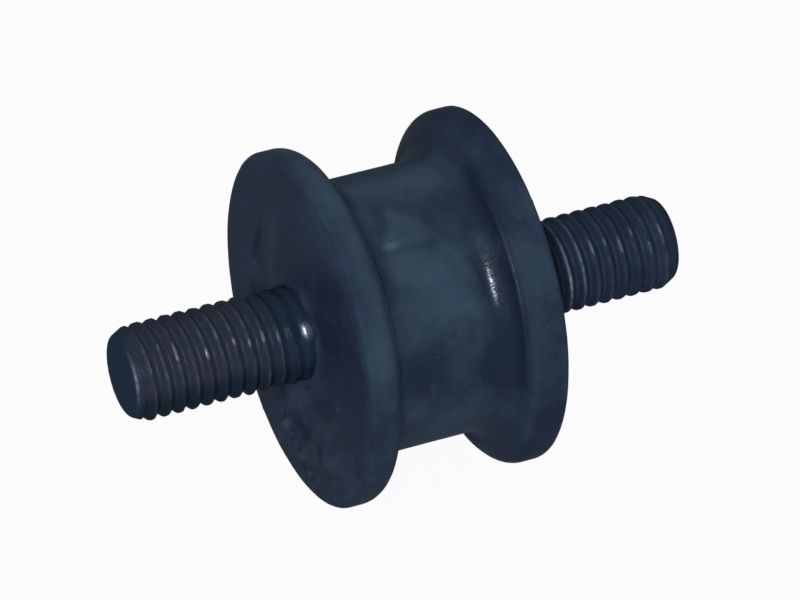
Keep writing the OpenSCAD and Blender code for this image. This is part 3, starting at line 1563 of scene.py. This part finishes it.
@dataclass
class FlashSkin:
    """Thin skin of rubber that ran over a plate inside the lip, with a groove along part of the lip."""

    wear: FaceWear
    seat_x: float
    lip_h: float
    inner_r: float
    seat_r: float
    overlap: float = 0.6 * MM
    thickness: float = 0.28 * MM
    least_height: float = 0.02 * MM
    depth: float = 0.3 * MM
    wave: float = 0.06 * MM
    grain: float = 0.03 * MM
    proud: float = 0.012 * MM
    lip_reach: float = 1.6 * MM
    lip_stop: float = 0.1 * MM
    tuck_start: float = 0.15 * MM
    tuck_depth: float = 0.09 * MM
    groove_inset: float = 0.35 * MM
    groove_width: float = 0.28 * MM
    groove_depth: float = 0.20 * MM
    groove_stray: float = 0.25 * MM
    open_azimuths: Pair = rad(-78, 192)
    open_spread: float = math.radians(26)
    open_power: int = 4
    collar_h: float = 0.55 * MM
    collar_width: float = 0.45 * MM
    collar_shares: Pair = (0.75, 0.9)
    collar_limits: Pair = (0.1, 1.4)
    bloom: float = 0.03
    rows: int = 90
    columns: int = 440

    def height(self, radii: Array, azimuths: Array) -> Array:
        """How far the skin stands above the plate.

        Args:
            radii: Radius of each place.
            azimuths: Azimuth of each place.

        Returns:
            One height per place.
        """
        places = self.wear.places(radii, azimuths)
        uneven = self.wave * self.wear.rough(places, Pattern.SKIN_WAVE)
        uneven += self.grain * self.wear.rough(places, Pattern.SKIN_GRAIN)
        stray = self.groove_stray * self.wear.rough(places, Pattern.SKIN_GROOVE)
        gaps = [azimuth_gap(azimuths + self.wear.turned_by, middle) for middle in self.open_azimuths]
        groove_r = self.seat_r - self.groove_inset
        opened = near(np.minimum(*gaps), 0.0, self.open_spread, self.open_power)
        groove = opened * near(radii + stray, groove_r, self.groove_width)
        near_lip = (1.0 - opened) * rise(radii, (groove_r - self.lip_reach, self.seat_r - self.lip_stop))
        flush = self.lip_h + self.proud
        film = (self.thickness + uneven) * (1.0 - near_lip) + flush * near_lip
        film -= self.tuck_depth * rise(radii, (self.tuck_start, self.overlap), self.seat_r)
        film += self.wear.relief(radii, azimuths) - self.groove_depth * groove
        least, gain = self.collar_shares
        ragged = np.clip(least + gain * self.wear.rough(places, Pattern.COLLAR_EDGE), *self.collar_limits)
        film += self.collar_h * ragged * np.exp(-np.maximum(radii - self.inner_r, 0.0) / self.collar_width)
        return np.maximum(film, self.least_height)

    def build(self, material: Material) -> Piece:
        """Makes the skin, which lies on the plate.

        Args:
            material: Finish of the rubber.

        Returns:
            The piece.
        """
        end = self.wear.end
        azimuths = round_azimuths(self.columns)[None, :]
        radii = np.linspace(self.inner_r, self.seat_r + self.overlap, self.rows)[:, None]
        top = turn(end.value * (self.seat_x + self.height(radii, azimuths)), radii, azimuths)
        under = turn(end.value * (self.seat_x - self.depth), radii[[-1, 0]], azimuths)
        piece = ring_piece(f"{end.word}_flash", np.concatenate([top, under]))
        at = Around.of(piece)
        bloom, shade, scuff = self.wear.tones(at.radii, at.azimuths)
        write_masks(piece, bloom=self.bloom + bloom, shade=shade, stain=self.wear.violet(shade), scuff=scuff)
        dress(piece, material)
        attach(piece, BODY)
        return piece


@dataclass(frozen=True)
class Thread:
    """How one stud's thread is cut and worn. Its phase is in turns, and most others are shares."""

    phase: float
    depth: float
    crest_shine: float
    crest_power: float = 1.3
    base_depth: float = 1.0
    tip_fade: float = 0.0
    dents: float = 1.0
    # Share of the painted highlight on the first crests past the flange, partly from wear.
    shiny_base: float = 0.0
    # Painted light on the flanks that face the plate, which lightens their shade.
    flank_dust: float = 0.0
    # Painted shade on the stud's underside.
    dark_under: float = 0.0


THREADS = {
    End.LEFT: Thread(
        phase=-0.36,
        depth=0.41 * MM,
        crest_shine=0.08,
        crest_power=1.0,
        base_depth=0.38,
        dents=1.7,
        flank_dust=0.35,
        dark_under=0.75,
    ),
    End.RIGHT: Thread(phase=-0.06, depth=0.36 * MM, crest_shine=0.10, tip_fade=0.4, shiny_base=0.9),
}


@dataclass
class ThreadedStud:
    """A headed stud with a rolled right-hand metric thread from its plate to its chamfered end."""

    end: End
    thread: Thread
    stud_r: float
    head_r: float
    head_x: float
    plate_x: float
    seat_x: float
    tip_x: float
    pitch: float = 1.25 * MM
    seam_depth: float = 0.03 * MM
    seam_width: float = 0.11
    dent_depth: float = 0.10 * MM
    dent_cut: float = 0.15
    lump_mm: float = 0.030
    fine_lump_mm: float = 0.016
    tip_fade: Pair = mm(-6.0, -1.0)
    run_out: float = 1.05 * MM
    run_out_shares: Pair = (0.4, 1.4)
    base_fade: Pair = mm(1.5, 6.5)
    neck_r: float = 4.5 * MM
    head_chamfer: float = 0.6 * MM
    chamfer_l: float = 1.2 * MM
    chamfer_r: float = 0.6 * MM
    tip_edge_r: float = 0.25 * MM
    tip_rings: tuple[float, ...] = (0.8, 0.5, 0.2)
    coating: float = 0.04 * MM
    rows_per_turn: int = 26
    columns: int = 160

    def past_crest(self, stations: Array, azimuths: Array) -> Array:
        """Turns of the thread from each point's nearest crest, above 0 towards the tip."""
        turns = self.end.value * stations / self.pitch - azimuths / FULL_TURN + self.thread.phase
        return self.end.value * (turns - np.round(turns))

    def from_crest(self, stations: Array, azimuths: Array) -> Array:
        """Share of the way from the nearest crest of the thread to its root, at each point."""
        return 2.0 * np.abs(self.past_crest(stations, azimuths))

    def thread_radius(self, stations: Array, azimuths: Array) -> Array:
        """Radius of the threaded length.

        Args:
            stations: Distance of each point from the middle of the mount.
            azimuths: Azimuth of each point.

        Returns:
            The radius at each point.
        """
        thread = self.thread
        from_crest = self.from_crest(stations, azimuths)
        cut = (0.5 - 0.5 * np.cos(math.pi * from_crest)) ** thread.crest_power
        cut += self.seam_depth / thread.depth * near(from_crest, 0.0, self.seam_width)
        points = turn(self.end.value * stations, self.stud_r, azimuths)
        dented = np.clip(waviness(points, Pattern.CREST_DENTS) - self.dent_cut, 0.0, 1.0)
        crest_wear = self.dent_depth * thread.dents * dented
        lumpy = self.lump_mm * waviness(points, Pattern.THREAD_LUMPS)
        lumpy = lumpy + self.fine_lump_mm * waviness(points, Pattern.FINE_THREAD_LUMPS)
        lumpy = lumpy * thread.dents * MM
        fade = 1.0 - thread.tip_fade * rise(stations, self.tip_fade, self.tip_x)
        starts, full_at = self.run_out_shares
        fade = fade * rise(stations, (starts * self.run_out, full_at * self.run_out), self.seat_x)
        full = rise(stations, self.base_fade, self.seat_x)
        fade = fade * (thread.base_depth + (1.0 - thread.base_depth) * full)
        radii = self.stud_r + self.coating + lumpy - np.maximum(thread.depth * fade * cut, crest_wear)
        return np.minimum(radii, self.tip_radius(stations))

    def tip_radius(self, stations: Array) -> Array:
        """Radius of the end's chamfer with its rounded edge.

        Args:
            stations: Distance of each point from the middle of the mount.

        Returns:
            The radius at each point.
        """
        from_tip = self.tip_x - stations
        cone = self.stud_r - self.chamfer_r + self.chamfer_r * from_tip / self.chamfer_l
        edge = np.sqrt(np.clip(self.tip_edge_r**2 - (self.tip_edge_r - from_tip) ** 2, 0.0, None))
        rounded = cone - self.tip_edge_r + edge
        return np.where(from_tip < self.tip_edge_r, rounded, cone)

    def rings(self) -> tuple[Array, tuple[int, int, int]]:
        """Rings of points from the head's buried face to the end of the stud.

        Returns:
            The rings, and the thread's first row, last row and shift in one turn.
        """
        azimuths = round_azimuths(self.columns)
        buried = np.array([
            (self.head_x, self.head_r - self.head_chamfer),
            (self.head_x + self.head_chamfer, self.head_r),
            (self.plate_x, self.head_r),
            (self.plate_x, self.neck_r),
            (self.seat_x, self.neck_r),
        ])
        step = self.pitch / self.rows_per_turn
        lead = self.end.value * azimuths * self.pitch / FULL_TURN
        count = math.ceil((self.tip_x - self.seat_x + self.pitch) / step) + 1
        rows = self.seat_x - self.pitch + step * np.arange(count + self.rows_per_turn)
        stations = np.clip(rows[:, None] + lead[None, :], self.seat_x, self.tip_x)
        radii = self.thread_radius(stations, np.broadcast_to(azimuths, stations.shape))
        rings = [turn(self.end.value * station, radius, azimuths)[None] for station, radius in buried]
        rings.append(turn(self.end.value * stations, radii, azimuths[None, :]))
        for share in self.tip_rings:
            rings.append(turn(self.end.value * self.tip_x, share * radii[-1], azimuths)[None])
        helix = (len(buried), len(buried) + len(rows) - 1, self.end.value * self.rows_per_turn)
        return np.concatenate(rings), helix

    def build(self, material: Material) -> Piece:
        """Makes the stud and puts it in the place of its solid.

        Args:
            material: Finish of the stud.

        Returns:
            The piece.
        """
        rings, helix = self.rings()
        piece = turned_piece(f"{self.end.word}_threaded_stud", rings, helix)
        ThreadTones(self).write(piece)
        dress(piece, material)
        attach(piece, BODY)
        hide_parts(f"{self.end.word}_stud")
        return piece


@dataclass(frozen=True)
class ThreadTones:
    """Where a stud is bright from wear and painted glints, darker at its end, in painted shade by its plate
    and underneath, and lighter with painted light in its roots and on its flanks.

    Pairs of lengths are limits, counted from the plate's outer face or from the stud's end.
    """

    stud: ThreadedStud
    thread_start: Pair = mm(1.0, 1.6)
    thread_end: Pair = mm(-1.4, -0.9)
    crest: Pair = (0.08, 0.24)
    patchy_cut: Pair = (-0.30, 0.35)
    # Painted highlight along the end's edge, in front.
    edge: Sector = Sector(60, 26)
    edge_width: float = 0.16 * MM
    edge_shine: float = 0.9
    # Painted highlight on a spot near the plate.
    spot_azimuth: float = math.radians(55)
    spot_station: float = 1.0 * MM
    spot_width: float = 0.5 * MM
    spot_length: float = 0.28 * MM
    # Painted highlight on the far stud's first crests past its flange, brightest in front.
    shiny_start: Pair = mm(4.9, 5.4)
    shiny_end: Pair = mm(6.2, 8.0)
    shiny_front: Sector = Sector(62, 34)
    shiny_shares: Pair = (0.15, 0.85)
    # Painted glints on the crests, where the lamp's reflection falls.
    glint: Sector = Sector(46, 17)
    glint_cut: Pair = (-0.05, 0.30)
    glints: float = 0.8
    # Painted light in the roots and on the flanks that face the plate, which lightens their shade.
    root: Pair = (0.70, 1.0)
    root_cut: Pair = (-0.45, 0.25)
    root_dust: float = 0.2
    flank_place: float = -0.28
    flank_width: float = 0.14
    tip: Pair = mm(-0.5, -0.1)
    # Painted shade on the stud near its plate: darker steel, painted shade and less painted light there.
    base: Pair = mm(2.5, 6.0)
    base_hollow: float = 0.85
    base_soot: float = 0.5
    base_clean: float = 0.5
    # Painted shadow of the far flange on its stud, in a band behind the flange's rim.
    behind_station: float = 4.6 * MM
    behind_width: float = 0.8 * MM
    behind: Sector = Sector(50, 60, 4)
    # Azimuths over which the painted shade on the underside sets in.
    under: Pair = rad(72, 105)

    def worn(self, at: Around, out: Array, on_thread: Array) -> Array:
        """Bright steel on the crests, partly from wear and partly painted glints, and painted highlights on
        the end's edge and on a spot at the base.

        Args:
            at: The stud's points.
            out: Distance of each point from the middle of the mount.
            on_thread: Share of the thread at each point.

        Returns:
            Share of steel bright from wear and painted glints at each point.
        """
        stud, thread = self.stud, self.stud.thread
        crest = fall(stud.from_crest(out, at.azimuths), self.crest)
        edge_gap = np.hypot(out - stud.tip_x, at.radii - (stud.stud_r - stud.chamfer_r))
        edge = near(edge_gap, 0.0, self.edge_width) * self.edge.share(at.azimuths)
        spot_round = azimuth_gap(at.azimuths, self.spot_azimuth) * at.radii / self.spot_width
        bright = spot(spot_round, (out - stud.seat_x - self.spot_station) / self.spot_length)
        patchy = rise(waviness(at.points, Pattern.WORN_CRESTS), self.patchy_cut)
        sparse = rise(waviness(at.points, Pattern.GLINTS), self.glint_cut)
        least, gain = self.shiny_shares
        base = rise(out, self.shiny_start, stud.seat_x) * fall(out, self.shiny_end, stud.seat_x)
        base *= least + gain * self.shiny_front.share(at.azimuths)
        shiny = np.maximum(thread.crest_shine * patchy, thread.shiny_base * base)
        shiny = np.maximum(shiny, self.glints * self.glint.share(at.azimuths) * sparse)
        crests = on_thread * crest * shiny
        return np.maximum.reduce([crests, self.edge_shine * edge, (1.0 - thread.shiny_base) * bright])

    def dust(self, at: Around, out: Array) -> Array:
        """Painted light in the roots and on the flanks that face the base, which lightens their shade.

        Args:
            at: The stud's points.
            out: Distance of each point from the middle of the mount.

        Returns:
            Share of painted light at each point.
        """
        root = rise(self.stud.from_crest(out, at.azimuths), self.root)
        broken = rise(waviness(at.points, Pattern.ROOT_DUST), self.root_cut)
        flank = near(self.stud.past_crest(out, at.azimuths), self.flank_place, self.flank_width)
        return np.maximum(self.root_dust * root * broken, self.stud.thread.flank_dust * flank)

    def write(self, piece: Piece) -> None:
        """Stores the masks that the steel's material reads.

        Args:
            piece: The stud.
        """
        stud, thread = self.stud, self.stud.thread
        at = Around.of(piece)
        out = stud.end.value * at.stations
        on_thread = rise(out, self.thread_start, stud.seat_x) * fall(out, self.thread_end, stud.tip_x)
        tip = rise(out, self.tip, stud.tip_x)
        behind = near(out, stud.seat_x + self.behind_station, self.behind_width)
        behind *= self.behind.share(at.azimuths)
        base = fall(out, self.base, stud.seat_x) * (1.0 - thread.shiny_base) + behind * thread.shiny_base
        under = thread.dark_under * rise(np.abs(at.azimuths), self.under)
        write_masks(
            piece,
            worn=self.worn(at, out, on_thread),
            hollow=np.maximum(tip, self.base_hollow * base),
            soot=np.maximum(under * (1.0 - tip), self.base_soot * thread.dark_under * base),
            dust=self.dust(at, out) * on_thread * (1.0 - self.base_clean * base),
        )


@dataclass(frozen=True)
class Lamp:
    """A rectangular lamp that faces the mount: the way to it, its width and height, and its watts."""

    name: str
    direction: tuple[float, float, float]
    distance: float
    size: Pair
    power: float
    colour: tuple[float, float, float] = (0.83, 0.91, 1.0)

    def build(self) -> None:
        """Places the lamp."""
        data = bpy.data.lights.new(self.name, "AREA")
        data.shape = "RECTANGLE"
        data.size, data.size_y = self.size
        data.energy = self.power
        data.color = self.colour
        lamp = bpy.data.objects.new(self.name, data)
        towards = Vector(self.direction).normalized()
        facing = towards.to_track_quat("Z", "Y").to_matrix().to_4x4()
        lamp.matrix_world = Matrix.Translation(self.distance * towards) @ facing
        bpy.context.scene.collection.objects.link(lamp)


@dataclass
class Studio:
    """Pale floor, soft light and the camera."""

    floor_z: float
    azimuth: float = math.radians(-24.345)
    elevation: float = math.radians(34.4)
    distance: float = 0.56
    lens: float = 306.64
    sensor: float = 36.0
    aim_right: float = 0.356 * MM
    aim_up: float = 0.535 * MM
    world_light: float = 0.32
    world_colour: Colour = (0.86, 0.95, 1.0, 1.0)
    floor_half: float = 3.0
    floor_white: float = 0.95
    white: Colour = (1.0, 1.0, 1.0, 1.0)
    paper: Colour = (0.55, 0.55, 0.55, 1.0)
    lamps: tuple[Lamp, ...] = (
        Lamp("key", (-0.37, -0.75, 0.55), 0.5, (0.05, 0.16), 1.65),
        Lamp("sky", (0.10, 0.40, 0.90), 0.6, (0.5, 0.5), 0.55),
    )

    def build(self) -> None:
        """Makes the whole studio."""
        self.build_camera()
        self.build_floor()
        self.build_world()
        for lamp in self.lamps:
            lamp.build()
        bpy.context.scene.view_settings.view_transform = "Standard"

    def build_camera(self) -> None:
        """Places the camera at the photograph's angle."""
        back = Vector((
            math.sin(self.azimuth) * math.cos(self.elevation),
            -math.cos(self.azimuth) * math.cos(self.elevation),
            math.sin(self.elevation),
        ))
        right = Vector((0.0, 0.0, 1.0)).cross(back).normalized()
        up = back.cross(right)
        data = bpy.data.cameras.new("camera")
        data.lens = self.lens
        data.sensor_width = self.sensor
        camera = bpy.data.objects.new("camera", data)
        aim = self.aim_right * right + self.aim_up * up
        turned = Matrix((right, up, back)).transposed().to_4x4()
        camera.matrix_world = Matrix.Translation(aim + self.distance * back) @ turned
        bpy.context.scene.collection.objects.link(camera)
        bpy.context.scene.camera = camera

    @staticmethod
    def seen_directly(tree: NodeTree) -> Socket:
        """Which rays see the floor as plain white.

        Args:
            tree: The floor's node tree.

        Returns:
            1 for rays from the camera, and for rays that metal or glass sends on.
        """
        path = tree.add("LightPath")
        seen = tree.math("MAXIMUM", path.outputs["Is Camera Ray"], path.outputs["Is Glossy Ray"])
        return tree.math("MAXIMUM", seen, path.outputs["Is Transmission Ray"])

    def build_floor(self) -> None:
        """A wide white floor that keeps a faint shadow."""
        half = self.floor_half
        places = [(-half, -half), (half, -half), (half, half), (-half, half)]
        mesh = bpy.data.meshes.new("floor")
        mesh.from_pydata([(x, y, self.floor_z) for x, y in places], [], [(0, 1, 2, 3)])
        floor = bpy.data.objects.new("floor", mesh)
        bpy.context.scene.collection.objects.link(floor)
        material, tree = new_material("white_floor")
        paper = tree.add("BsdfDiffuse", {"Color": self.paper})
        glow = tree.add("Emission", {"Color": self.white, "Strength": 1.0})
        share = tree.math("MULTIPLY", self.seen_directly(tree), self.floor_white)
        mixed = tree.add("MixShader", {0: share, 1: paper.outputs[0], 2: glow.outputs[0]})
        tree.add("OutputMaterial", {"Surface": mixed.outputs[0]})
        dress(floor, material)
        floor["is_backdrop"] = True

    def build_world(self) -> None:
        """Plain pale surroundings, which light the object softly from all sides."""
        world = bpy.data.worlds.new("studio")
        world.use_nodes = True
        tree = NodeTree(world.node_tree)
        light = tree.add("Background", {"Color": self.world_colour, "Strength": self.world_light})
        tree.add("OutputWorld", {"Surface": light.outputs[0]})
        bpy.context.scene.world = world


@dataclass
class RadiatorMount:
    """The whole mount, with its sizes read from the frame."""

    frame: dict
    right_face_turn: float = math.radians(140)
    skin_overlap: float = 0.1 * MM

    def build(self) -> list[Piece]:
        """Makes and dresses every piece.

        Returns:
            The pieces in the order they were made.
        """
        groups = SurfaceGroups()
        rubber = RubberFinish().material(groups)
        # The far stud takes a copy of the same steel, matched to how it is lit.
        stud_steel = {
            End.LEFT: STUD_FINISH.material(groups),
            End.RIGHT: BLUED_STUD_FINISH.material(groups),
        }
        plate_steel = PLATE_FINISH.material(groups)
        body_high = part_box("rubber_body")[1]
        plate_low, plate_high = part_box("right_plate")
        stud_low, stud_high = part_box("right_stud")
        mounts = {mount["name"]: mount for mount in self.frame["record"]["mounts"]}
        stud_r = mounts["right_stud"]["dims"]["r_mm"] * MM
        wear = {
            End.LEFT: FaceWear(End.LEFT),
            End.RIGHT: FaceWear(End.RIGHT, turned_by=self.right_face_turn),
        }
        steel = {
            "head_r": stud_high.z,
            "head_x": stud_low.x,
            "plate_x": plate_low.x,
            "seat_x": plate_high.x,
        }
        spool = RubberSpool(
            flange_r=body_high.z,
            half_l=body_high.x,
            plate_r=plate_high.z,
            wear=wear,
            **steel,
        )
        made = [spool.build(rubber)]
        for end in End:
            stud = ThreadedStud(end=end, thread=THREADS[end], stud_r=stud_r, tip_x=stud_high.x, **steel)
            made.append(stud.build(stud_steel[end]))
            skin = FlashSkin(
                wear=wear[end],
                seat_x=plate_high.x,
                lip_h=body_high.x - plate_high.x,
                inner_r=stud_r - self.skin_overlap,
                seat_r=spool.seat_r,
            )
            made.append(skin.build(rubber))
            plate = self.frame["nodes"][f"{end.word}_plate"]
            dress(plate, plate_steel)
            made.append(plate)
        return made


def corners(bounds: tuple[Vector, Vector]) -> list[list[float]]:
    """A box's two corners as plain lists."""
    return [[float(value) for value in corner] for corner in bounds]


def main() -> None:
    """Loads the frame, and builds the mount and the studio."""
    logging.basicConfig(level=logging.INFO, format="%(message)s")
    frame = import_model()
    solid_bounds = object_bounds()
    for piece in RadiatorMount(frame).build():
        LOG.info("%s: %d faces", piece.name, len(piece.data.polygons))
    Studio(floor_z=solid_bounds[0].z).build()


if __name__ == "__main__":
    main()
